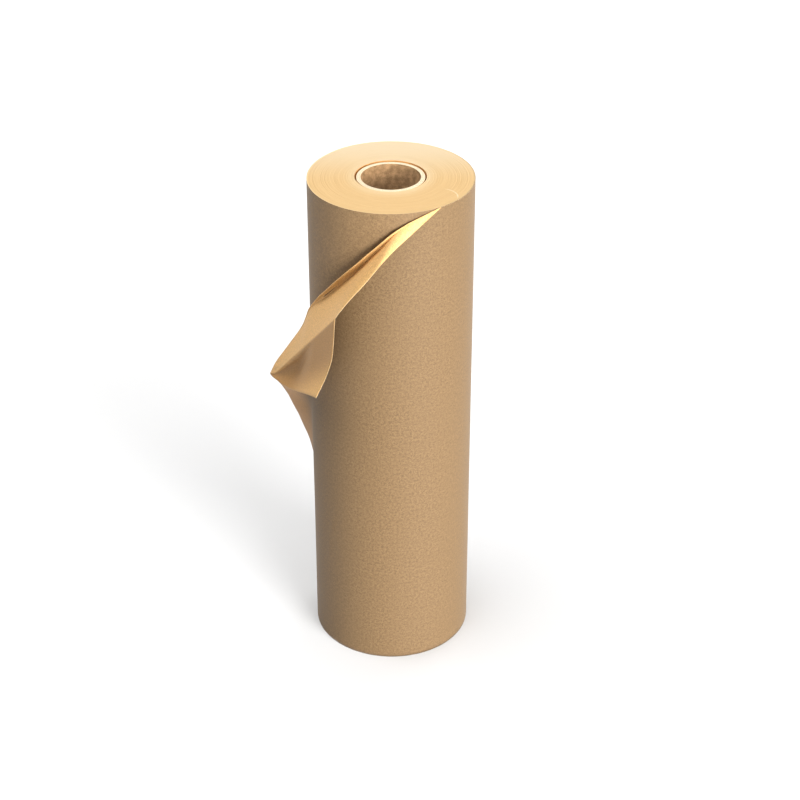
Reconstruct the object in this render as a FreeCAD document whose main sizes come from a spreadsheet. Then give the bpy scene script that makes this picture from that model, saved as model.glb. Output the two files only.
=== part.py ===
import FreeCAD, Part
import math
import os
import Sketcher

V = FreeCAD.Vector

# Frame: Z is the roll's own axis, z = 0 is the end it stands on, +Z up to the open end.
# -Y is the front, where the turned-over corner hangs.  All sizes in millimetres.

doc = FreeCAD.newDocument("wrapping_paper_roll")

# ---------------------------------------------------------------- sizes
sizes = doc.addObject("Spreadsheet::Sheet", "sizes")
CELLS = [
    ("web_width", 450.0, "width of the paper web, so the height of the standing roll"),
    ("roll_radius", 70.0, "outside of the last turn"),
    ("skin", 0.4, "solid thickness that stands for one layer of thin paper"),
    ("pack_bore_radius", 30.0, "inside of the first turn of paper, clear of the core"),
    ("core_bore_radius", 25.0, "standard cardboard core, 50 mm inside"),
    ("liner_ply_wall", 1.0, "innermost spiral ply of the core"),
    ("body_ply_wall", 1.5, "middle spiral ply of the core"),
    ("cover_ply_wall", 1.0, "outermost spiral ply of the core"),
    ("free_from_deg", 50.6, "the last turn leaves the roll this far left of the front"),
    ("free_length", 83.0, "paper between that line and the web's cut end"),
    ("crest_height", 6.0, "how far the turned-over paper stands off the roll at its fold"),
    ("crease_gap", 1.5, "room left in the solids along the crease of the turned-over corner"),
]
for row, (alias, value, words) in enumerate(CELLS, start=1):
    sizes.set("A%d" % row, alias)
    sizes.set("B%d" % row, repr(value))
    sizes.set("C%d" % row, words)
    sizes.setAlias("B%d" % row, alias)
doc.recompute()


def cell(alias):
    return float(sizes.get(alias))


# ---------------------------------------------------------------- helpers
def plane_of(body, role):
    return [f for f in body.Origin.OriginFeatures if f.Role == role][0]


def ring_body(label, inner, outer):
    """A tube of paper or board as tall as the web.  inner and outer are expressions."""
    body = doc.addObject("PartDesign::Body", label)
    sketch = body.newObject("Sketcher::SketchObject", label + "_section")
    sketch.AttachmentSupport = [(plane_of(body, "XY_Plane"), "")]
    sketch.MapMode = "FlatFace"
    for geo, (start_radius, words) in enumerate(((60.0, outer), (30.0, inner))):
        sketch.addGeometry(Part.Circle(V(0, 0, 0), V(0, 0, 1), start_radius), False)
        sketch.addConstraint(Sketcher.Constraint("Coincident", geo, 3, -1, 1))
        size = sketch.addConstraint(Sketcher.Constraint("Radius", geo, start_radius))
        sketch.setExpression("Constraints[%d]" % size, words)
    pad = body.newObject("PartDesign::Pad", label + "_pad")
    pad.Profile = sketch
    pad.setExpression("Length", "sizes.web_width")
    body.Tip = pad
    body.Label = label
    return body


def cut_side(body, label, role, outline, start, depth):
    """Cut a closed outline, drawn on a face plane, out of one side of a tube."""
    sketch = body.newObject("Sketcher::SketchObject", label)
    sketch.AttachmentSupport = [(plane_of(body, role), "")]
    sketch.MapMode = "FlatFace"
    sketch.AttachmentOffset = FreeCAD.Placement(V(0, 0, start), FreeCAD.Rotation())
    for a, b in zip(outline, outline[1:] + outline[:1]):
        sketch.addGeometry(Part.LineSegment(V(a[0], a[1], 0), V(b[0], b[1], 0)), False)
    pocket = body.newObject("PartDesign::Pocket", label + "_cut")
    pocket.Profile = sketch
    pocket.Length = depth
    body.Tip = pocket
    return pocket


def thin_sheet(label, rows, skin):
    """A bent sheet of paper: rows of points on its inner face, thickened along the normals.

    Every row has the same number of points.  The result is a closed solid of flat triangles.
    """
    n, m = len(rows), len(rows[0])

    def normal(i, j):
        along = rows[min(i + 1, n - 1)][j] - rows[max(i - 1, 0)][j]
        across = rows[i][min(j + 1, m - 1)] - rows[i][max(j - 1, 0)]
        return along.cross(across).normalize()

    low = rows
    high = [[rows[i][j] + normal(i, j) * skin for j in range(m)] for i in range(n)]
    faces = []

    def quad(a, b, c, d):
        for tri in ((a, b, c), (a, c, d)):
            faces.append(Part.Face(Part.makePolygon(list(tri) + [tri[0]])))

    for i in range(n - 1):
        for j in range(m - 1):
            quad(low[i][j], low[i + 1][j], low[i + 1][j + 1], low[i][j + 1])
            quad(high[i][j], high[i][j + 1], high[i + 1][j + 1], high[i + 1][j])
    for j in range(m - 1):
        quad(low[0][j], low[0][j + 1], high[0][j + 1], high[0][j])
        quad(low[n - 1][j], high[n - 1][j], high[n - 1][j + 1], low[n - 1][j + 1])
    for i in range(n - 1):
        quad(low[i][0], high[i][0], high[i + 1][0], low[i + 1][0])
        quad(low[i][m - 1], low[i + 1][m - 1], high[i + 1][m - 1], high[i][m - 1])
    solid = Part.makeSolid(Part.makeShell(faces))
    if solid.Volume < 0:
        solid.reverse()
    feature = doc.addObject("Part::Feature", label)
    feature.Shape = solid
    feature.Label = label
    return feature


def along_line(points, share):
    """The point a given share of the way along a line of points."""
    lengths = [(b - a).Length for a, b in zip(points, points[1:])]
    want = share * sum(lengths)
    for a, b, length in zip(points, points[1:], lengths):
        if want <= length:
            return a + (b - a) * (want / length)
        want -= length
    return points[-1]


# ---------------------------------------------------------------- cardboard core
LINER = "sizes.core_bore_radius"
BODY = LINER + " + sizes.liner_ply_wall"
COVER = BODY + " + sizes.body_ply_wall"
OUTSIDE = COVER + " + sizes.cover_ply_wall"
core_liner_ply = ring_body("core_liner_ply", LINER, BODY)
core_body_ply = ring_body("core_body_ply", BODY, COVER)
core_cover_ply = ring_body("core_cover_ply", COVER, OUTSIDE)

# ---------------------------------------------------------------- wound paper
wound_paper = ring_body("wound_paper", "sizes.pack_bore_radius", "sizes.roll_radius - sizes.skin")

# The last turn that still lies on the roll: it starts on the fold, goes round the right side
# and the back, and ends where the paper's cut end comes over it.
outer_turn = ring_body("outer_turn", "sizes.roll_radius - sizes.skin", "sizes.roll_radius")

# Where the turned-over corner leaves the roll across its front: x and z along the fold.
FOLD_FRONT = [(40.5, 450.0), (31.5, 446.2), (15.8, 440.0), (1.4, 431.3), (-16.4, 416.7),
              (-32.9, 398.8), (-45.0, 383.0), (-54.1, 367.0)]
above = cell("web_width") + 5.0
cut_side(outer_turn, "corner_gap", "XZ_Plane",
         FOLD_FRONT + [(-54.1, -5.0), (-80.0, -5.0), (-80.0, above), (40.5, above)], 44.4, 40.0)
# Left of the front the last turn is the loose end, a solid of its own.
cut_side(outer_turn, "loose_end_gap", "YZ_Plane",
         [(-44.5, -5.0), (33.4, -5.0), (33.4, above), (-44.5, above)], -20.0, 60.0)

# ---------------------------------------------------------------- loose end
# Seen from above, the loose end follows the roll round its left side and then flares off it,
# low down hardly at all and further towards the top.  Each row is the height, the x and y of the
# cut end there, and the degrees left of the front where the paper starts to flare.
FLARE = [(0.0, -61.8, 33.9, 110.0), (60.0, -61.8, 33.9, 110.0), (90.0, -62.2, 34.3, 104.0),
         (120.0, -64.3, 34.7, 99.0), (140.0, -67.9, 34.9, 97.0), (155.0, -71.5, 34.6, 96.0),
         (173.0, -75.7, 34.1, 95.0), (185.0, -79.6, 33.2, 93.0), (197.0, -83.1, 31.9, 91.0),
         (210.0, -87.6, 29.5, 89.0), (222.0, -91.7, 27.4, 86.0), (235.0, -98.0, 24.5, 80.0),
         (249.0, -106.8, 19.7, 74.0), (275.0, -106.8, 19.7, 66.0), (300.0, -106.8, 19.7, 60.0),
         (450.0, -106.8, 19.7, 51.0)]
free = cell("free_length")
leave = math.radians(-cell("free_from_deg"))
leave_out = V(math.sin(leave), -math.cos(leave), 0)
leave_on = V(-math.cos(leave), -math.sin(leave), 0)
# Above the tip the loose end stops at the fold, which climbs back to the roll: height, and the
# paper past the line where it leaves the roll.
FOLD_CLIMB = [(275.0, 66.0), (300.0, 47.9), (323.0, 31.2), (342.0, 19.0), (358.0, 7.0)]


def between(rows, value, column):
    """The number in a column of rising rows, on a straight line between the two nearest."""
    for low, high in zip(rows, rows[1:]):
        if value <= high[0]:
            share = max(0.0, (value - low[0]) / (high[0] - low[0]))
            return low[column] + (high[column] - low[column]) * share
    return rows[-1][column]


def flat_point(height, run):
    """A point run mm past the line where the paper leaves the roll, if it went straight on."""
    return leave_out * cell("roll_radius") + leave_on * run + V(0, 0, height)


def flared_point(height, run):
    """The same point when the paper first follows the roll and then flares off it."""
    radius = cell("roll_radius")
    follow = radius * (math.radians(between(FLARE, height, 3)) + leave)
    if run <= follow:
        angle = leave - run / radius
        return V(radius * math.sin(angle), -radius * math.cos(angle), height)
    angle = leave - follow / radius
    start = V(radius * math.sin(angle), -radius * math.cos(angle), height)
    end = V(between(FLARE, height, 1), between(FLARE, height, 2), height)
    left = free - follow
    off_start = V(-math.cos(angle), -math.sin(angle), 0) * left
    off_end = (end - start).normalize() * left
    t = (run - follow) / left
    return (start * (2 * t ** 3 - 3 * t ** 2 + 1) + off_start * (t ** 3 - 2 * t ** 2 + t)
            + end * (3 * t ** 2 - 2 * t ** 3) + off_end * (t ** 3 - t ** 2))


def loose_point(height, run):
    """A point of the loose end: straight on along the fold, flared further down."""
    climb = [(0.0, 365.0)] + [(wide, z) for z, wide in reversed(FOLD_CLIMB)] + [(free, 249.0)]
    below = (between(climb, run, 1) - height) / (27.0 + 1.3 * (free - run))
    flare = max(0.0, min(1.0, below))
    flare = flare * flare * (3 - 2 * flare)
    straight = flat_point(height, run)
    end = V(between(FLARE, height, 1), between(FLARE, height, 2), height)
    straight += (end - flat_point(height, free)) * (run / free)
    return straight * (1 - flare) + flared_point(height, run) * flare


loose_rows = [[loose_point(z, 0.4 + (free - 0.4) * j / 12.0) for j in range(13)]
              for z in (0.0, 60.0, 90.0, 120.0, 140.0, 155.0, 173.0, 185.0, 197.0, 210.0, 222.0,
                        235.0, 249.0)]
loose_rows += [[loose_point(z, 0.4 + (wide - 0.4) * j / 12.0) for j in range(13)]
               for z, wide in FOLD_CLIMB]
loose_end = thin_sheet("loose_end", loose_rows, cell("skin"))

# ---------------------------------------------------------------- turned-over corner
radius = cell("roll_radius")
FOLD_START = V(40.5, -57.1, 450.0)
FOLD_TIP = flat_point(249.0, free)
CREASE_START = V(-44.0, -112.0, 379.0)
CORNER = V(-61.2, -105.0, 301.0)

# The fold itself, from the rim round the front to the tip.
fold = [FOLD_START]
for x, z in FOLD_FRONT[1:-1]:
    fold.append(V(x, -math.sqrt(radius ** 2 - x ** 2), z))
fold += [flat_point(z, wide) for z, wide in reversed(FOLD_CLIMB)] + [FOLD_TIP]
# The paper's top edge from the rim to the crease, then the crease back to the tip.
edge = [FOLD_START, V(27.8, -65.4, 441.6), V(15.8, -73.2, 433.1), V(3.8, -81.0, 424.6),
        V(-8.2, -88.7, 414.3), V(-20.1, -96.5, 402.3), V(-32.0, -104.2, 392.1), CREASE_START, FOLD_TIP]


def off_roll(point, height):
    """The point moved straight out from the roll, or from the flat of the loose end."""
    out = V(point.x, point.y, 0).normalize()
    if out.dot(leave_on) > 0:
        out = leave_out
    return point + out * height


corner_rows = []
for step in range(10):
    share = 0.06 + 0.85 * step / 9.0
    inner = off_roll(along_line(fold, share), cell("crest_height"))
    outer = along_line(edge, share)
    outer = outer + (inner - outer).normalize() * 1.0
    corner_rows.append([inner + (outer - inner) * (j / 4.0) for j in range(5)])
turned_corner = thin_sheet("turned_corner", corner_rows, cell("skin"))

tip_rows = []
for step in range(7):
    share = 0.02 + 0.88 * step / 6.0
    inner = CREASE_START + (FOLD_TIP - CREASE_START) * share
    outer = CORNER + (FOLD_TIP - CORNER) * share
    start = inner + (outer - inner).normalize() * cell("crease_gap")
    tip_rows.append([start + (outer - start) * (j / 4.0) for j in range(5)])
corner_tip = thin_sheet("corner_tip", tip_rows, cell("skin"))

# ---------------------------------------------------------------- check and write
doc.recompute()
NODES = [core_liner_ply, core_body_ply, core_cover_ply, wound_paper, outer_turn, loose_end,
         turned_corner, corner_tip]
for thing in doc.Objects:
    if "Invalid" in thing.State or "Error" in thing.State:
        raise RuntimeError("%s did not compute: %s" % (thing.Label, thing.State))
os.makedirs("parts", exist_ok=True)
for node in NODES:
    shape = node.Shape
    if shape.isNull() or not shape.isValid() or len(shape.Solids) != 1:
        raise RuntimeError("%s is not one good solid" % node.Label)
    shape.exportStep(os.path.join("parts", node.Label + ".step"))
    box = shape.BoundBox
    print("%-16s %9.0f mm3  x %7.1f %7.1f  y %7.1f %7.1f  z %6.1f %6.1f" % (
        node.Label, shape.Volume, box.XMin, box.XMax, box.YMin, box.YMax, box.ZMin, box.ZMax))
print("fold tip", FOLD_TIP)
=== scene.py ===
"""A roll of kraft wrapping paper standing on its end, its loose outer corner folded over.

Everything is in metres: Z is the roll's axis, z = 0 the end it stands on, -Y the front.
"""
import math

import bmesh
import bpy
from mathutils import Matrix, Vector, noise


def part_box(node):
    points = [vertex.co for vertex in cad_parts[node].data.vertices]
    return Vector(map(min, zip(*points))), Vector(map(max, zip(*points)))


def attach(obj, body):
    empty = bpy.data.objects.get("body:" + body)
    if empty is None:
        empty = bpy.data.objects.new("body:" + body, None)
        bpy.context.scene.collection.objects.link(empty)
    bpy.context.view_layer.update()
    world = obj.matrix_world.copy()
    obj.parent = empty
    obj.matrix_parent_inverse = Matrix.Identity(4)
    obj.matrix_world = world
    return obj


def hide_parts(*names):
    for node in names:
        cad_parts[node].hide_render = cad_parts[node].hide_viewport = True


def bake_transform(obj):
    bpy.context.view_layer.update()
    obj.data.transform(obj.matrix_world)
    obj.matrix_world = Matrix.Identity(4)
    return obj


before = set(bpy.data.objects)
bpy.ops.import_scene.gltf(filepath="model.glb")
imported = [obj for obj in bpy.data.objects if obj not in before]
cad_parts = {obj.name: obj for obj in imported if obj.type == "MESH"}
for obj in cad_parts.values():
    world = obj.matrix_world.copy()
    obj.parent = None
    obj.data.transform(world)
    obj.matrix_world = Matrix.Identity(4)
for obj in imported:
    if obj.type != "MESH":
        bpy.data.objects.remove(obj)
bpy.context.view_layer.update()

MM = 0.001

# ------------------------------------------------------------------ sizes
ROLL_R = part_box("outer_turn")[1].x            # outside of the last turn
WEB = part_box("wound_paper")[1].z              # width of the web, so the roll's height
PACK_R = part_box("wound_paper")[1].x           # outside of the tight turns
LINER_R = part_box("core_liner_ply")[1].x       # outside of each ply of the core
BODY_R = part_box("core_body_ply")[1].x
COVER_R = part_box("core_cover_ply")[1].x
BORE_R = 25 * MM
PACK_BORE_R = 30 * MM
PAPER = 0.16 * MM                             # one layer of the web
SHEET_R = ROLL_R - 0.15 * MM                  # middle of the last turn
FREE_FROM = -math.radians(50.6)               # where the last turn leaves the roll
FREE_LENGTH = 84.7 * MM                       # paper past that line
LEAVE_S = FREE_FROM * ROLL_R                  # the same line, measured round the roll
CUT_S = LEAVE_S - FREE_LENGTH                 # the web's cut end
FOLD_S = 43.2 * MM                            # where the fold starts, on the rim
END_S = CUT_S + 2 * math.pi * ROLL_R          # where the last turn becomes the one before


# ------------------------------------------------------------------ small helpers
def mm(x, y, z):
    """A place or an offset given in millimetres, in metres."""
    return Vector((x, y, z)) * MM


def out_at(angle):
    """The way out from the roll's axis, by angle round from the front line."""
    return Vector((math.sin(angle), -math.cos(angle), 0.0))


def curve(start, leaving, end, arriving, t):
    """What lies t of the way along a smooth curve with these ends and these slopes at them."""
    return (start * (2 * t ** 3 - 3 * t ** 2 + 1) + leaving * (t ** 3 - 2 * t ** 2 + t)
            + end * (3 * t ** 2 - 2 * t ** 3) + arriving * (t ** 3 - t ** 2))


def smooth_table(table, x, column=1):
    """A column of a table at x, its first column, on a smooth line through the rows."""
    if x <= table[0][0]:
        return table[0][column]
    if x >= table[-1][0]:
        return table[-1][column]
    i = max(k for k in range(len(table) - 1) if table[k][0] <= x)

    def slope(k):
        if k == 0 or k == len(table) - 1:
            return None
        last, here, after_it = table[k - 1], table[k], table[k + 1]
        before = (here[column] - last[column]) / (here[0] - last[0])
        after = (after_it[column] - here[column]) / (after_it[0] - here[0])
        return 0.0 if before * after <= 0 else 2 * before * after / (before + after)

    x0, y0 = table[i][0], table[i][column]
    x1, y1 = table[i + 1][0], table[i + 1][column]
    wide = x1 - x0
    plain = (y1 - y0) / wide
    m0, m1 = slope(i), slope(i + 1)
    m0 = plain if m0 is None else m0
    m1 = plain if m1 is None else m1
    t = (x - x0) / wide
    return curve(y0, m0 * wide, y1, m1 * wide, t)


def smooth_line(points, share):
    """The point a given share of the way along a smooth line through points."""
    along = [0.0]
    for a, b in zip(points, points[1:]):
        along.append(along[-1] + (b - a).length)
    want = max(0.0, min(1.0, share)) * along[-1]
    passed = max(k for k in range(len(along)) if along[k] <= want + 1e-12)
    i = min(passed, len(points) - 2)
    t = (want - along[i]) / (along[i + 1] - along[i])
    p0, p1 = points[max(i - 1, 0)], points[i]
    p2, p3 = points[i + 1], points[min(i + 2, len(points) - 1)]
    return 0.5 * (2 * p1 + (p2 - p0) * t + (2 * p0 - 5 * p1 + 4 * p2 - p3) * t ** 2
                  + (3 * p1 - p0 - 3 * p2 + p3) * t ** 3)


def ease(t):
    """0 to 1 as t goes from 0 to 1, slow at both ends."""
    t = max(0.0, min(1.0, t))
    return t * t * (3 - 2 * t)


def piece_from(name, bm, finishes):
    """Makes a bmesh a finished object at the origin."""
    mesh = bpy.data.meshes.new(name)
    bm.to_mesh(mesh)
    bm.free()
    for finish in finishes:
        mesh.materials.append(finish)
    for polygon in mesh.polygons:
        polygon.use_smooth = True
    piece = bpy.data.objects.new(name, mesh)
    bpy.context.scene.collection.objects.link(piece)
    return piece


# ------------------------------------------------------------------ finishes
class Finish:
    """One material, with short ways to add its nodes."""

    def __init__(self, name):
        self.material = bpy.data.materials.new(name)
        self.material.use_nodes = True
        self.tree = self.material.node_tree
        self.shader = self.tree.nodes["Principled BSDF"]
        self.output = self.tree.nodes["Material Output"]

    def add(self, kind, settings=(), **inputs):
        node = self.tree.nodes.new("ShaderNode" + kind)
        for key, value in dict(settings).items():
            setattr(node, key, value)
        for key, value in inputs.items():
            self.put(node.inputs[key.replace("_", " ")], value)
        return node

    def put(self, socket, value):
        if isinstance(value, bpy.types.NodeSocket):
            self.tree.links.new(value, socket)
        else:
            socket.default_value = value

    def place(self, source, scale=(1, 1, 1)):
        """Where on the piece, in metres: Object, or UV where the pattern follows the paper."""
        coordinates = self.add("TexCoord")
        mapping = self.add("Mapping", Vector=coordinates.outputs[source])
        mapping.inputs["Scale"].default_value = scale
        return mapping.outputs["Vector"]

    def cloud(self, where, per_metre, detail=3.0, roughness=0.5, distortion=0.0):
        node = self.add("TexNoise", Vector=where, Scale=per_metre, Detail=detail,
                        Roughness=roughness, Distortion=distortion)
        return node.outputs["Fac"]

    def sum(self, operation, a, b=0.0):
        node = self.add("Math", {"operation": operation})
        for socket, value in zip(node.inputs, (a, b)):
            self.put(socket, value)
        return node.outputs[0]

    def weigh(self, *parts):
        """The sum of each part's value times its weight."""
        total = None
        for value, weight in parts:
            part = self.sum("MULTIPLY", value, weight)
            total = part if total is None else self.sum("ADD", total, part)
        return total

    def between(self, value, low, high, to_low=0.0, to_high=1.0):
        """value from low to high, spread smoothly over to_low to to_high."""
        node = self.add("MapRange", {"interpolation_type": "SMOOTHSTEP"})
        for socket, number in zip(node.inputs, (value, low, high, to_low, to_high)):
            self.put(socket, number)
        return node.outputs[0]

    def blend(self, share, a, b, how="MIX"):
        node = self.add("Mix", {"data_type": "RGBA", "blend_type": how, "clamp_factor": True})
        self.put(node.inputs[0], share)
        for socket, colour in ((node.inputs[6], a), (node.inputs[7], b)):
            if isinstance(colour, bpy.types.NodeSocket):
                self.tree.links.new(colour, socket)
            else:
                socket.default_value = (*colour, 1.0)
        return node.outputs[2]

    def relief(self, height, depth):
        node = self.add("Bump", Height=height, Distance=depth)
        node.inputs["Strength"].default_value = 1.0
        self.tree.links.new(node.outputs["Normal"], self.shader.inputs["Normal"])

    def set(self, **sockets):
        for key, value in sockets.items():
            self.put(self.shader.inputs[key.replace("_", " ")], value)
        return self.material


def fibres(finish, where, per_metre, thickness, seed):
    """A mask of thin wandering fibres: lines where a stretched cloud crosses its middle."""
    moved = finish.add("Mapping", Vector=where)
    moved.inputs["Location"].default_value = (seed * 0.37, seed * 0.61, seed * 0.13)
    moved.inputs["Rotation"].default_value = (0.0, 0.0, seed * 0.9)
    moved.inputs["Scale"].default_value = (1.0, 2.6, 1.6)
    line = finish.cloud(moved.outputs["Vector"], per_metre, 1.0, 0.4, 1.1)
    near = finish.sum("ABSOLUTE", finish.sum("SUBTRACT", line, 0.5))
    mask = finish.between(near, 0.0, thickness, 1.0, 0.0)
    patches = finish.cloud(moved.outputs["Vector"], per_metre * 0.8, 1.0, 0.5)
    return finish.sum("MULTIPLY", mask, finish.between(patches, 0.5, 0.66))


def brighter(colour, times):
    return tuple(min(1.0, times * channel) for channel in colour)


# The sharp crease on the flat cut: a place is x * CREASE_X + y * CREASE_Y - CREASE_AT past it.
CREASE_X, CREASE_Y, CREASE_AT = -0.935, 0.357, 0.2259
CREASE_SHADE_TINT = (0.52, 0.46, 0.40)                      # painted shade: what darkens the paper past the crease, where the hanging facet lies in shade


def paper_face(name, source, pale, deep, fleck, sheen,
               see_through=0.0, lit_through=None, painted_crease_shade=0.0):
    """Kraft paper seen flat: cloudy pulp, machine stripes round the roll, fibres, a few specks, and
    where asked painted shade past the crease.
    """
    finish = Finish(name)
    where = finish.place(source)
    pulp = finish.cloud(where, 450, 4.0, 0.70)
    colour = finish.blend(finish.between(pulp, 0.33, 0.67), deep, pale)
    broad = finish.cloud(where, 22, 2.0, 0.5)
    colour = finish.blend(finish.between(broad, 0.25, 0.75, 0.0, 0.35), colour,
                          tuple(0.5 * (a + b) for a, b in zip(pale, deep)))
    stretched = (0.03, 1.0, 1.0) if source == "UV" else (0.03, 0.03, 1.0)
    stripes = finish.cloud(finish.place(source, stretched), 420, 3.0, 0.7)
    colour = finish.blend(finish.between(stripes, 0.35, 0.75, 0.0, 0.16), colour, deep)
    grain = finish.cloud(where, 1050, 3.0, 0.7)
    shade = finish.between(grain, 0.28, 0.72, 0.78, 1.22)
    grey = finish.add("CombineXYZ")
    for axis in "XYZ":
        finish.put(grey.inputs[axis], shade)
    colour = finish.blend(1.0, colour, grey.outputs[0], "MULTIPLY")
    pale_fibres = fibres(finish, where, 330, 0.010, 1)
    colour = finish.blend(finish.sum("MULTIPLY", pale_fibres, 0.30), colour,
                          brighter(pale, 1.35))
    dark_fibres = fibres(finish, where, 270, 0.008, 3)
    colour = finish.blend(finish.sum("MULTIPLY", dark_fibres, 0.38), colour, fleck)
    dots = finish.add("TexVoronoi", {"feature": "F1"}, Vector=where, Scale=95)
    rare = finish.add("SeparateColor", Color=dots.outputs["Color"])
    size = finish.between(rare.outputs[0], 0.55, 1.0, 0.0, 0.06)
    dot = finish.sum("LESS_THAN", dots.outputs["Distance"], size)
    colour = finish.blend(finish.sum("MULTIPLY", dot, 0.5), colour, fleck)
    if lit_through:
        flat = finish.add("SeparateXYZ", Vector=where)
        loose = finish.between(flat.outputs["X"], -0.134, -0.098, 0.70, 0.0)
        low = finish.between(flat.outputs["Y"], 0.110, 0.200)
        high = finish.between(flat.outputs["Y"], 0.245, 0.300, 1.0, 0.0)
        share = finish.sum("MULTIPLY", loose, finish.sum("MULTIPLY", low, high))
        mottled = finish.blend(finish.between(pulp, 0.3, 0.7), brighter(lit_through, 0.78),
                               lit_through)
        colour = finish.blend(share, colour, mottled)
    if painted_crease_shade:
        # Painted shade: deeper just past the sharp crease, where the hanging facet lies in shade,
        # fading towards the paper's own corner.
        flat = finish.add("SeparateXYZ", Vector=where)
        past_crease = finish.weigh((flat.outputs["X"], CREASE_X), (flat.outputs["Y"], CREASE_Y))
        past_crease = finish.sum("SUBTRACT", past_crease, CREASE_AT)
        shade_past_crease = finish.between(past_crease, -0.5 * MM, 1.0 * MM, 0.0, painted_crease_shade)
        fading = finish.between(past_crease, 18 * MM, 66 * MM, 1.0, 0.15)
        colour = finish.blend(finish.sum("MULTIPLY", shade_past_crease, fading), colour, CREASE_SHADE_TINT, "MULTIPLY")
    rough = finish.between(pulp, 0.3, 0.7, 0.58, 0.74)
    finish.relief(finish.weigh((pulp, 0.35), (grain, 0.25), (pale_fibres, 0.35)), 0.03 * MM)
    finish.set(Base_Color=colour, Roughness=rough)
    finish.set(Specular_IOR_Level=0.35, Sheen_Weight=sheen, Sheen_Roughness=0.35)
    finish.shader.inputs["Sheen Tint"].default_value = (1.0, 0.98, 0.95, 1.0)
    if see_through:
        back = finish.add("BsdfTranslucent", Color=colour)
        both = finish.add("MixShader")
        both.inputs[0].default_value = see_through
        finish.tree.links.new(finish.shader.outputs[0], both.inputs[1])
        finish.tree.links.new(back.outputs[0], both.inputs[2])
        finish.tree.links.new(both.outputs[0], finish.output.inputs["Surface"])
    return finish.material


PAINTED_BACK_LIGHT = (0.525, 0.430, 0.292)              # painted light: the end face paler and whiter towards the back
SCUFF = (0.74, 0.66, 0.50)
SCUFF_X, SCUFF_Y, SCUFF_R = 40 * MM, 37 * MM, 14.5 * MM   # its arc: right, front, radius


def wound_end(name, pale, deep, core_side):
    """The cut edges of all the turns: fine rings, paler by the core, with a scuff near the rim, and
    painted light paler towards the back.
    """
    finish = Finish(name)
    where = finish.place("Object")
    parts = finish.add("SeparateXYZ", Vector=where)
    x, y = parts.outputs["X"], parts.outputs["Y"]
    radius = finish.sum("SQRT", finish.weigh((x, x), (y, y)))
    turns = finish.add("CombineXYZ", X=radius)
    finish.put(turns.inputs["Y"], finish.sum("MULTIPLY", x, 0.02))
    finish.put(turns.inputs["Z"], finish.sum("MULTIPLY", y, 0.02))
    fine = finish.cloud(turns.outputs[0], 2600, 2.0, 0.6)
    broad = finish.cloud(turns.outputs[0], 260, 3.0, 0.6)
    dust = finish.cloud(where, 240, 4.0, 0.6)
    fuzz = finish.cloud(where, 1300, 2.0, 0.6)
    mixed = finish.weigh((fine, 0.35), (broad, 0.30), (dust, 0.2), (fuzz, 0.15))
    colour = finish.blend(finish.between(mixed, 0.34, 0.64), deep, pale)
    near_core = finish.between(finish.sum("ADD", radius, finish.sum("MULTIPLY", dust, 6 * MM)),
                               PACK_BORE_R + 2 * MM, PACK_BORE_R + 14 * MM, 1.0, 0.0)
    colour = finish.blend(finish.sum("MULTIPLY", near_core, 0.75), colour, core_side)
    # Painted light: the end face turns paler towards the back.
    colour = finish.blend(finish.between(y, -15 * MM, 65 * MM, 0.0, 0.8), colour, PAINTED_BACK_LIGHT)
    rim = finish.between(radius, ROLL_R - 2.2 * MM, ROLL_R - 0.4 * MM, 0.0, 0.55)
    colour = finish.blend(rim, colour, core_side)
    dx = finish.sum("SUBTRACT", x, SCUFF_X)
    dy = finish.sum("ADD", y, SCUFF_Y)
    away = finish.sum("SQRT", finish.weigh((dx, dx), (dy, dy)))
    off_arc = finish.sum("ABSOLUTE", finish.sum("SUBTRACT", away, SCUFF_R))
    side = finish.weigh((dx, 0.86), (dy, 0.5))
    scuff = finish.sum("MULTIPLY", finish.between(off_arc, 0.0, 0.7 * MM, 1.0, 0.0),
                       finish.between(side, 9 * MM, 13.8 * MM))
    colour = finish.blend(finish.sum("MULTIPLY", scuff, 0.5), colour, SCUFF)
    finish.relief(finish.weigh((fine, 1.0), (fuzz, 0.5)), 0.06 * MM)
    finish.set(Base_Color=colour, Roughness=finish.between(dust, 0.3, 0.7, 0.72, 0.88))
    return finish.set(Specular_IOR_Level=0.25)


def plain_fibre(name, pale, deep, per_metre, rough, depth):
    """Board and cut paper edges: blotchy pulp with fibres."""
    finish = Finish(name)
    where = finish.place("Object")
    blotch = finish.cloud(where, per_metre, 4.0, 0.65)
    grain = finish.cloud(where, per_metre * 7, 3.0, 0.6)
    both = finish.weigh((blotch, 0.65), (grain, 0.35))
    colour = finish.blend(finish.between(both, 0.36, 0.64), deep, pale)
    strands = fibres(finish, where, per_metre * 2.2, 0.012, 2)
    colour = finish.blend(finish.sum("MULTIPLY", strands, 0.35), colour, brighter(pale, 1.3))
    finish.relief(both, depth)
    finish.set(Base_Color=colour,
               Roughness=finish.between(grain, 0.3, 0.7, rough - 0.06, rough + 0.06))
    return finish.set(Specular_IOR_Level=0.25)


KRAFT = (0.215, 0.133, 0.061), (0.134, 0.080, 0.034), (0.075, 0.042, 0.020)   # pale, deep, fleck
INNER = (0.72, 0.430, 0.168), (0.52, 0.302, 0.107), KRAFT[2]
LIT_THROUGH = (0.54, 0.290, 0.115)            # the loose end, where light comes through it
wrap_face = paper_face("kraft_wrap_face", "UV", *KRAFT, sheen=0.10, see_through=0.12,
                       lit_through=LIT_THROUGH)
pack_face = paper_face("kraft_turns_face", "Object", *KRAFT, sheen=0.10)
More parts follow.
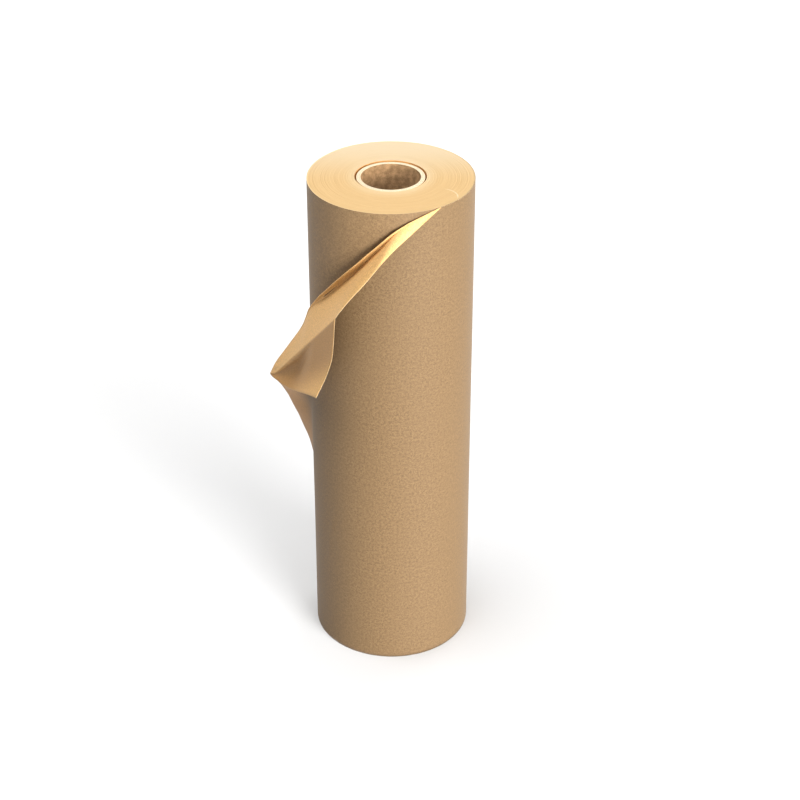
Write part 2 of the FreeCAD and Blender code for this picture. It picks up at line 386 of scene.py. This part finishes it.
# The inner face carries painted shade past the turned corner's crease.
inner_face = paper_face("kraft_inner_face", "UV", *INNER, sheen=0.05, see_through=0.05,
                        painted_crease_shade=0.85)
cut_edge = plain_fibre("kraft_cut_edge", (0.72, 0.55, 0.33), (0.60, 0.43, 0.23),
                       per_metre=900, rough=0.8, depth=0.01 * MM)
end_face = wound_end("wound_end_rings", (0.510, 0.342, 0.162), (0.452, 0.296, 0.128),
                     core_side=(0.525, 0.385, 0.215))
first_turn = plain_fibre("first_turn_face", (0.60, 0.31, 0.10), (0.48, 0.22, 0.065),
                         per_metre=260, rough=0.8, depth=0.03 * MM)
liner_face = plain_fibre("core_liner_board", (0.29, 0.170, 0.079), (0.140, 0.078, 0.033),
                         per_metre=210, rough=0.82, depth=0.08 * MM)
board_edge = plain_fibre("core_board_edge", (0.66, 0.56, 0.40), (0.55, 0.44, 0.29),
                         per_metre=700, rough=0.85, depth=0.05 * MM)


# ------------------------------------------------------------------ cardboard core
def ring_section(inner, outer, soft):
    """A bmesh with the upright section of a tube wall, its corners softened."""
    bm = bmesh.new()
    corners = [bm.verts.new((r, 0.0, z))
               for r, z in ((inner, 0), (outer, 0), (outer, WEB), (inner, WEB))]
    for a, b in zip(corners, corners[1:] + corners[:1]):
        bm.edges.new((a, b))
    bmesh.ops.bevel(bm, geom=corners, offset=soft, offset_type="OFFSET", segments=2,
                    profile=0.5, affect="VERTICES", material=-1, clamp_overlap=True)
    return bm


def spin_full(bm, steps):
    """Turns a section all the way round the roll's axis and faces it outwards."""
    bmesh.ops.spin(bm, geom=bm.verts[:] + bm.edges[:], cent=(0, 0, 0), axis=(0, 0, 1),
                   dvec=(0, 0, 0), angle=2 * math.pi, steps=steps, use_merge=True,
                   use_duplicate=False)
    bmesh.ops.remove_doubles(bm, verts=bm.verts[:], dist=1e-7)
    bmesh.ops.recalc_face_normals(bm, faces=bm.faces[:])


def core_ply(name, node, inner, outer, finishes):
    bm = ring_section(inner, outer, 0.16 * MM)
    spin_full(bm, 128)
    for face in bm.faces:
        face.material_index = 0 if abs(face.normal.z) < 0.5 else 1
    ply = piece_from(name, bm, finishes)
    sharpen(ply, 50)
    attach(ply, "roll")
    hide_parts(node)


def sharpen(piece, degrees):
    """Keeps a hard line where faces meet at more than this angle."""
    bm = bmesh.new()
    bm.from_mesh(piece.data)
    limit = math.radians(degrees)
    for edge in bm.edges:
        if len(edge.link_faces) == 2 and edge.calc_face_angle(0.0) > limit:
            edge.smooth = False
    bm.to_mesh(piece.data)
    bm.free()


def wound_liner(name, pitch, seam, wall):
    """The innermost ply: one strip of board wound in a spiral, a hairline between its turns."""
    bm = bmesh.new()
    turns = math.ceil(WEB / pitch) + 2
    steps = turns * 96
    low = bm.verts.new((BORE_R, 0.0, -pitch))
    high = bm.verts.new((BORE_R, 0.0, -seam))
    bm.edges.new((low, high))
    bmesh.ops.spin(bm, geom=bm.verts[:] + bm.edges[:], cent=(0, 0, 0), axis=(0, 0, 1),
                   dvec=(0, 0, pitch * turns / steps), angle=2 * math.pi * turns, steps=steps,
                   use_merge=False, use_duplicate=False)
    for height, keep_up in ((0.0, True), (WEB, False)):
        bmesh.ops.bisect_plane(bm, geom=bm.verts[:] + bm.edges[:] + bm.faces[:], dist=1e-7,
                               plane_co=(0, 0, height), plane_no=(0, 0, 1),
                               clear_inner=keep_up, clear_outer=not keep_up)
    bmesh.ops.remove_doubles(bm, verts=bm.verts[:], dist=1e-7)
    bmesh.ops.recalc_face_normals(bm, faces=bm.faces[:])
    bm.faces.ensure_lookup_table()
    middle = bm.faces[0].calc_center_median()
    if bm.faces[0].normal.dot(Vector((middle.x, middle.y, 0))) > 0:
        bmesh.ops.reverse_faces(bm, faces=bm.faces[:])
    ply = piece_from(name, bm, [liner_face, liner_face, board_edge])
    add_thickness(ply, wall, -1.0)
    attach(ply, "roll")
    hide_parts("core_liner_ply")


def add_thickness(piece, thickness, offset):
    """Gives a sheet its thickness: its back takes the second finish and its cut edges the third."""
    layer = piece.modifiers.new("thickness", "SOLIDIFY")
    layer.thickness = thickness
    layer.offset = offset
    layer.use_even_offset = False
    layer.use_rim = True
    layer.material_offset = 1
    layer.material_offset_rim = 2


PLY_GAP = 0.02 * MM
wound_liner("core_liner_spiral", pitch=112 * MM, seam=0.35 * MM, wall=LINER_R - BORE_R)
core_ply("core_body_board", "core_body_ply", LINER_R + PLY_GAP, BODY_R,
         [liner_face, board_edge])
core_ply("core_cover_board", "core_cover_ply", BODY_R + PLY_GAP, COVER_R,
         [cut_edge, board_edge])


# ------------------------------------------------------------------ tight turns
BORE_SHIFT = 1.4 * MM                         # how far back the innermost turns sit


def tight_turns():
    """All the turns but the last: a tube of paper whose ends show the edges of its turns."""
    bm = bmesh.new()
    section = [bm.verts.new((r, 0.0, z)) for r, z in
               ((PACK_BORE_R, 0), (PACK_R, 0), (PACK_R, WEB), (PACK_BORE_R, WEB))]
    edges = [bm.edges.new((a, b)) for a, b in zip(section, section[1:] + section[:1])]
    bmesh.ops.subdivide_edges(bm, edges=[edges[2]], cuts=150)
    bmesh.ops.subdivide_edges(bm, edges=[edges[0]], cuts=50)
    bmesh.ops.subdivide_edges(bm, edges=[edges[1]], cuts=6)
    for vert in bm.verts:
        inside = ease((vert.co.x - PACK_BORE_R) / MM) * ease((PACK_R - vert.co.x) / MM)
        groups = noise.noise(Vector((vert.co.x * 900, 3.1, vert.co.z * 9)))
        single = noise.noise(Vector((vert.co.x * 3100, 8.7, vert.co.z * 9)))
        step = (0.10 * groups + 0.07 * single - 0.12) * MM * inside
        if vert.co.z > WEB / 2 and inside:
            vert.co.z += step
        elif inside:
            vert.co.z -= step
    spin_full(bm, 176)
    for face in bm.faces:
        middle = face.calc_center_median()
        across = math.hypot(middle.x, middle.y)
        level = abs(face.normal.z) > 0.3
        face.material_index = 0 if level else (1 if across > 0.5 * (PACK_R + PACK_BORE_R) else 2)
    # The first turn sits hard against the core at the front and leaves a gap behind it.
    for vert in bm.verts:
        across = math.hypot(vert.co.x, vert.co.y)
        near_bore = 1 - ease((across - PACK_BORE_R) / (12 * MM))
        vert.co.y += BORE_SHIFT * near_bore
    turns = piece_from("tight_turns", bm, [end_face, pack_face, first_turn])
    sharpen(turns, 40)
    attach(turns, "roll")
    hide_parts("wound_paper")


tight_turns()


# ------------------------------------------------------------------ the last turn's own shape
# The loose end seen from above: height, x and y of its cut end there, and how many degrees left
# of the front the paper stops following the roll and flares off it.
FLARE = [(0, -60.8, 35.3, 112), (60, -60.8, 35.3, 110), (90, -61.6, 35.8, 104),
         (120, -64.0, 36.4, 99), (140, -67.8, 36.6, 97), (155, -71.6, 36.3, 96),
         (173, -76.1, 35.8, 95), (185, -80.1, 34.8, 93), (197, -83.8, 33.5, 91),
         (210, -88.5, 31.0, 89), (222, -92.7, 28.8, 86), (235, -99.1, 25.8, 80),
         (249, -107.7, 21.1, 74), (275, -107.7, 21.1, 66), (300, -107.7, 21.1, 60),
         (450, -107.7, 21.1, 51)]
# Along the fold, by distance round the roll from the front line: height, and how far it stands off.
FOLD_HEIGHT = [(-146.5, 247.9), (-134.2, 266.5), (-121.4, 283.4), (-109.8, 298.7), (-99.2, 312.8),
               (-93.1, 321.9), (-87.7, 332.5), (-83.9, 339.9), (-76.9, 348.3), (-64.9, 361.0),
               (-54.7, 371.9), (-43.0, 385.9), (-32.4, 398.2), (-22.8, 409.2), (-16.7, 416.2),
               (-10.7, 422.3), (-4.7, 428.5), (1.3, 434.0), (7.5, 438.2), (15.6, 442.4),
               (23.8, 445.4), (32.6, 447.9), (43.2, 450.0)]
FOLD_LIFT = [(-146.5, 0), (-95, 0), (-87, 0.5), (-76.9, 2.6), (-64.9, 5.2), (-54.7, 6.5), (-43.0, 7.0),
             (-32.4, 6.8), (-22.8, 6.3), (-16.7, 5.7), (-10.7, 5.0), (-4.7, 4.2), (1.3, 3.3),
             (7.5, 2.5), (15.6, 1.6), (23.8, 1.0), (32.6, 0.5), (43.2, 0)]
# The valley behind the fold: how far it drops below the ridge, and how far it stands off.
VALLEY_DROP = [(-146.5, 0.5), (-90, 0.7), (-84, 1.0), (-77.2, 1.7), (-68.9, 3.4), (-59.4, 4.3),
               (-48.4, 5.7), (-37.6, 6.8), (-28.6, 7.1), (-19.3, 6.9), (-12.8, 5.8), (-7.2, 5.0),
               (-1.7, 3.3), (3.6, 1.4), (20, 0.6), (43.2, 0.3)]
VALLEY_LIFT = [(-146.5, 0.6), (-90, 1.1), (-84, 1.7), (-77.2, 2.8), (-68.9, 3.6), (-59.4, 3.4),
               (-48.4, 2.8), (-37.6, 2.4), (-28.6, 2.15), (-19.3, 2.2), (-12.8, 2.3), (-7.2, 2.6),
               (-1.7, 3.0), (3.6, 3.4), (20, 2.0), (43.2, 0.4)]
RISE = 16 * MM          # how far below the ridge the paper starts to lift off the roll


def table_mm(table, s):
    return smooth_table(table, s / MM) * MM


def loose_spot(run, z, fold):
    """Where the loose end is, seen from above: run past the line where it leaves the roll, z up.

    Along the fold it goes straight on; further down it follows the roll and then flares.
    """
    end = Vector((smooth_table(FLARE, z / MM, 1), smooth_table(FLARE, z / MM, 2), 0.0)) * MM
    straight = (out_at(FREE_FROM) * SHEET_R).lerp(end, run / FREE_LENGTH)
    follow = SHEET_R * (math.radians(smooth_table(FLARE, z / MM, 3)) + FREE_FROM)
    angle = FREE_FROM - min(run, follow) / SHEET_R
    flared = out_at(angle) * SHEET_R
    if run > follow:
        left = FREE_LENGTH - follow
        off_start = Vector((-math.cos(angle), -math.sin(angle), 0.0)) * left
        off_end = (end - flared).normalized() * left
        flared = curve(flared, off_start, end, off_end, (run - follow) / left)
    return straight.lerp(flared, ease((fold - z) / (27 * MM + 1.3 * (FREE_LENGTH - run))))


def on_paper(s, z, off=0.0):
    """A place on the last turn, s round from the front line and z up, and the way out from it."""
    if s >= LEAVE_S:
        out = out_at(s / ROLL_R)
        sink = 0.30 * MM * ease((s - (END_S - 30 * MM)) / (26 * MM))
        return out * (SHEET_R - sink + off) + Vector((0, 0, z)), out
    run, fold = LEAVE_S - s, fold_height(s)
    along = loose_spot(run + 0.5 * MM, z, fold) - loose_spot(run - 0.5 * MM, z, fold)
    out = Vector((-along.y, along.x, 0.0)).normalized()
    return loose_spot(run, z, fold) + out * off + Vector((0, 0, z)), out


def fold_height(s):
    return WEB if s >= FOLD_S else table_mm(FOLD_HEIGHT, s)


def ridge(s):
    return on_paper(s, fold_height(s), table_mm(FOLD_LIFT, s))


def paper_grid(name, rows, flats, finishes, probe, outward):
    """A sheet of paper from rows of points, with its flat cut as UV in metres.

    The wrap side of the face nearest to the probe point looks outward.
    """
    across = len(rows[0])
    bm = bmesh.new()
    bmesh.ops.create_grid(bm, x_segments=across - 1, y_segments=len(rows) - 1, size=1)
    bm.verts.ensure_lookup_table()
    order = sorted(bm.verts, key=lambda v: (round(v.co.y, 6), round(v.co.x, 6)))
    flat_layer = bm.loops.layers.uv.new("flat_cut")
    flat_of = {}
    for i, vert in enumerate(order):
        vert.co = rows[i // across][i % across]
        flat_of[vert.index] = flats[i // across][i % across]
    for face in bm.faces:
        for loop in face.loops:
            loop[flat_layer].uv = flat_of[loop.vert.index]
    bmesh.ops.remove_doubles(bm, verts=bm.verts[:], dist=1e-6)
    bmesh.ops.dissolve_degenerate(bm, edges=bm.edges[:], dist=1e-7)
    bm.normal_update()
    nearest = min(bm.faces, key=lambda face: (face.calc_center_median() - probe).length)
    if nearest.normal.dot(outward) < 0:
        bmesh.ops.reverse_faces(bm, faces=bm.faces[:])
    return piece_from(name, bm, finishes)


def flat_area(piece):
    """The area of a sheet's flat cut, from its UV map in metres."""
    layer = piece.data.uv_layers[0].data
    total = 0.0
    for polygon in piece.data.polygons:
        spots = [layer[i].uv for i in polygon.loop_indices]
        around = zip(spots, spots[1:] + spots[:1])
        total += abs(sum(a.x * b.y - b.x * a.y for a, b in around)) / 2
    return total


# ------------------------------------------------------------------ the last turn
BEHIND_FOLD = 76        # columns of the grid from the cut end to the start of the fold
REST = 96               # and from there round to the other end
NEAR_TOP = [0, 0.5, 1.2, 2.2, 3.6, 5.2, 7.0, 9.0, 11.2, 13.6, 16.4, 19.6]   # rows, mm down
BELOW = 128             # and the rows below those
PAPER_FINISHES = [wrap_face, inner_face, cut_edge]
fold_columns = [FOLD_S + (CUT_S - FOLD_S) * i / BEHIND_FOLD for i in range(BEHIND_FOLD + 1)]


# Small wrinkles low on the left: place round and up, half width and height, how high, and lean.
WRINKLES = [(-59, 131, 1.8, 13, 0.40, 0.25), (-52, 112, 1.5, 11, 0.32, -0.35),
            (-64, 104, 2.2, 16, 0.38, 0.10), (-47, 139, 1.6, 8, 0.25, 0.5),
            (-40, 62, 2.2, 14, 0.22, 0.3)]


def unevenness(s, z):
    """How far the paper stands off by itself: it is never quite tight, and has wrinkles."""
    slack = 0.10 * (1 + noise.noise(Vector((s * 9, z * 7, 1.7))))
    slack += 0.04 * (1 + noise.noise(Vector((s * 60, z * 22, 5.2))))
    for at_s, at_z, wide, tall, high, lean in WRINKLES:
        ds, dz = s / MM - at_s, z / MM - at_z
        ds -= lean * dz
        slack += high * math.exp(-(ds / wide) ** 2 - (dz / tall) ** 2)
    return slack * MM


def last_turn():
    columns = list(reversed(fold_columns))
    columns += [FOLD_S + (END_S - FOLD_S) * (i + 1) / REST for i in range(REST)]
    rows, flats = [], []
    for k in range(len(NEAR_TOP) + BELOW):
        row, flat = [], []
        for s in columns:
            top = fold_height(s)
            if k < len(NEAR_TOP):
                z = top - NEAR_TOP[k] * MM
            else:
                z = (top - NEAR_TOP[-1] * MM) * (1 - (k - len(NEAR_TOP) + 1) / BELOW)
            rise = max(0.0, 1 - (top - z) / RISE) ** 2.5 if s < FOLD_S else 0.0
            quiet = 1 - ease((s - (END_S - 40 * MM)) / (30 * MM))
            off = table_mm(FOLD_LIFT, s) * rise + unevenness(s, z) * quiet * (1 - rise)
            if s < LEAVE_S:
                loose = ((LEAVE_S - s) / FREE_LENGTH) ** 2
                off = off + 0.3 * MM * math.sin(z * 31 + 0.6) * loose * (1 - rise)
            row.append(on_paper(s, z, off)[0])
            flat.append((s, z))
        rows.append(row)
        flats.append(flat)
    turn = paper_grid("last_turn", rows, flats, PAPER_FINISHES, *on_paper(0.1, 0.1))
    add_thickness(turn, PAPER, 0.0)
    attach(turn, "roll")
    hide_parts("outer_turn", "loose_end")
    flat_area(turn)


last_turn()


# ------------------------------------------------------------------ the turned-over corner
# The paper's top edge, from the rim out to where the sharp crease meets it.
TOP_EDGE = [mm(40.5, -57.3, 449.9), mm(27.7, -66.3, 441.2), mm(15.7, -75.0, 433.2),
            mm(3.8, -83.6, 425.3), mm(-8.1, -92.2, 415.6), mm(-20.0, -100.8, 404.1),
            mm(-31.9, -109.4, 394.3), mm(-40.5, -115.6, 386.0), mm(-43.8, -118.0, 381.9)]
# The same edge from the crease down to the paper's corner.
CORNER_EDGE = [mm(-43.8, -118.0, 381.9), mm(-44.7, -118.0, 371.9), mm(-45.8, -118.0, 358.1),
               mm(-47.7, -117.0, 343.6), mm(-52.1, -115.0, 328.3), mm(-56.5, -113.0, 315.7),
               mm(-60.8, -112.0, 304.6)]
TIP = ridge(CUT_S)[0]
CREASE_END = TIP + mm(3.8, -5.5, 2.6)
KINK = 27               # the column of the fold that the crease starts from
FLAT_KINK = Vector((FOLD_S - 113 * MM, WEB))
FLAT_TIP = Vector((CUT_S, fold_height(CUT_S)))
FLAT_CORNER = Vector((CUT_S, WEB))


def outer_line(i):
    """Where the turned corner ends across from column i of the fold: its top edge, then the crease."""
    if i <= KINK:
        share = i / KINK
        return smooth_line(TOP_EDGE, share), Vector((FOLD_S, WEB)).lerp(FLAT_KINK, share)
    share = (i - KINK) / (BEHIND_FOLD - KINK)
    return TOP_EDGE[-1].lerp(CREASE_END, share), FLAT_KINK.lerp(FLAT_TIP, share)


MOST_SAG = 1.2 * MM      # of the paper between the ridge and the valley behind it
TO_VALLEY = (0.3, 0.65, 0.92, 1.0)
TO_FAR = (0.012, 0.05, 0.12, 0.22, 0.33, 0.45, 0.57, 0.69, 0.80, 0.90, 0.97, 1.0)


def turned_corner():
    rows, flats = [], []
    for i, s in enumerate(fold_columns):
        top, out = ridge(s)
        along = (ridge(s - 0.5 * MM)[0] - ridge(s + 0.5 * MM)[0]).normalized()
        up = out.cross(along).normalized()
        if up.z < 0:
            up.negate()
        share = i / BEHIND_FOLD
        soft = 0.55 * MM * min(1.0, share / 0.08 + 0.03, (1 - share) / 0.05 + 0.05)
        points = [top + out * soft * (1 - math.cos(a)) + up * soft * math.sin(a)
                  for a in (math.radians(d) for d in (0, 45, 90, 135, 180))]
        back = table_mm(VALLEY_LIFT, s)
        valley = on_paper(s, fold_height(s) - table_mm(VALLEY_DROP, s), max(back, 2 * soft))[0]
        far, flat_far = outer_line(i)
        near = points[-1]
        sag = min(MOST_SAG, 0.3 * (table_mm(FOLD_LIFT, s) + 2 * soft - back)) if s < FOLD_S else 0.0
        points += [near.lerp(valley, t) - out * max(0.0, sag) * math.sin(math.pi * t)
                   for t in TO_VALLEY]
        points += [valley.lerp(far, t) for t in TO_FAR]
        rows.append(points)
        lengths = [0.0]
        for a, b in zip(points, points[1:]):
            lengths.append(lengths[-1] + (b - a).length)
        flat_near = Vector((s, fold_height(s)))
        flats.append([flat_near.lerp(flat_far, x / max(lengths[-1], 1e-9)) for x in lengths])
    middle = rows[len(rows) // 2]
    corner = paper_grid("turned_corner_sheet", rows, flats, PAPER_FINISHES,
                        middle[-4], Vector((0.70, 0.12, -0.71)))
    sharpen(corner, 38)
    add_thickness(corner, PAPER, 0.0)
    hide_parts("turned_corner")
    flat_area(corner)
    return corner


corner_sheet = turned_corner()


INWARD = Vector((0.948, 0.255, -0.189))       # from the outer face of the tip to the roll
AWAY = Vector((0.0, 0.85, -0.53))             # the way the tip is hollowed
SCOOP, HOLLOW = 8 * MM, 17 * MM
ACROSS_TIP = 18


def corner_tip():
    rows, flats = [], []
    count = BEHIND_FOLD - KINK
    for j in range(count + 1):
        share = j / count
        start, flat_start = outer_line(KINK + j)
        end = CORNER_EDGE[-1].lerp(TIP + mm(0.6, -0.6, -0.8), share)
        droop = math.sin(math.pi * share ** 1.5)
        end = end + mm(0.5, 0.0, -5.0) * droop
        flat_end = FLAT_CORNER.lerp(FLAT_TIP, share)
        depth = min(SCOOP, 24 * MM * (1 - share)) * ease((share - 0.3) / 0.4)
        hollow = HOLLOW * (1 - 0.6 * share) * min(1.0, (1 - share) / 0.4)
        row, flat = [], []
        for k in range(ACROSS_TIP + 1):
            t = k / ACROSS_TIP
            point = start.lerp(end, t)
            edge = smooth_line(CORNER_EDGE, t) - TOP_EDGE[-1].lerp(CORNER_EDGE[-1], t)
            point = point + edge * (1 - share) ** 2
            point = point + INWARD * depth * math.sin(math.pi * t ** 0.48)
            row.append(point + AWAY * hollow * math.sin(math.pi * t ** 1.4))
            flat.append(flat_start.lerp(flat_end, t))
        rows.append(row)
        flats.append(flat)
    tip = paper_grid("corner_tip_sheet", rows, flats, PAPER_FINISHES,
                     rows[len(rows) // 2][ACROSS_TIP // 2], INWARD)
    add_thickness(tip, PAPER, 0.0)
    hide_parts("corner_tip")
    flat_area(tip)
    return tip


tip_sheet = corner_tip()

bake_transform(corner_sheet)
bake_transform(tip_sheet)


# ------------------------------------------------------------------ floor, light and camera
def floor_finish():
    finish = Finish("pale_floor")
    where = finish.place("Object")
    tone = finish.cloud(where, 1.5, 2.0)
    colour = finish.blend(finish.between(tone, 0.3, 0.7), (0.60, 0.60, 0.60), (0.62, 0.62, 0.62))
    finish.set(Base_Color=colour, Roughness=0.9)
    return finish.set(Specular_IOR_Level=0.1)


FLOOR_REACH = 60.0       # from the roll to each side of the floor
FLOOR_DROP = 0.3 * MM
floor_mesh = bmesh.new()
bmesh.ops.create_grid(floor_mesh, x_segments=4, y_segments=4, size=FLOOR_REACH)
bmesh.ops.translate(floor_mesh, verts=floor_mesh.verts[:], vec=(0, 0, -FLOOR_DROP))
floor = piece_from("pale_floor", floor_mesh, [floor_finish()])


def soft_light(name, towards, spread, strength):
    """An even white light from far off: spread is how wide it looks, in degrees."""
    lamp = bpy.data.lights.new(name, "SUN")
    lamp.angle = math.radians(spread)
    lamp.energy = strength
    light = bpy.data.objects.new(name, lamp)
    light.rotation_euler = Vector(towards).to_track_quat("-Z", "Y").to_euler()
    bpy.context.scene.collection.objects.link(light)


soft_light("overhead", (0.25, 0.08, -0.96), spread=60, strength=3.6)
soft_light("right_front", (-0.60, 0.785, -0.14), spread=38, strength=11.0)
soft_light("right_back", (-0.55, -0.82, -0.12), spread=50, strength=3.0)

world = bpy.data.worlds.new("pale_room")
world.use_nodes = True
background = world.node_tree.nodes["Background"]
background.inputs["Color"].default_value = (1.0, 1.0, 1.0, 1.0)
background.inputs["Strength"].default_value = 0.10
bpy.context.scene.world = world
bpy.context.scene.view_settings.view_transform = "Standard"

lens = bpy.data.cameras.new("camera")
lens.lens = 88.4         # mm
lens.sensor_width = 36   # mm
camera = bpy.data.objects.new("camera", lens)
camera.location = (0.00766, -1.4735, 1.1490)
camera.rotation_euler = (math.radians(58.132), 0, 0)
bpy.context.scene.collection.objects.link(camera)
bpy.context.scene.camera = camera
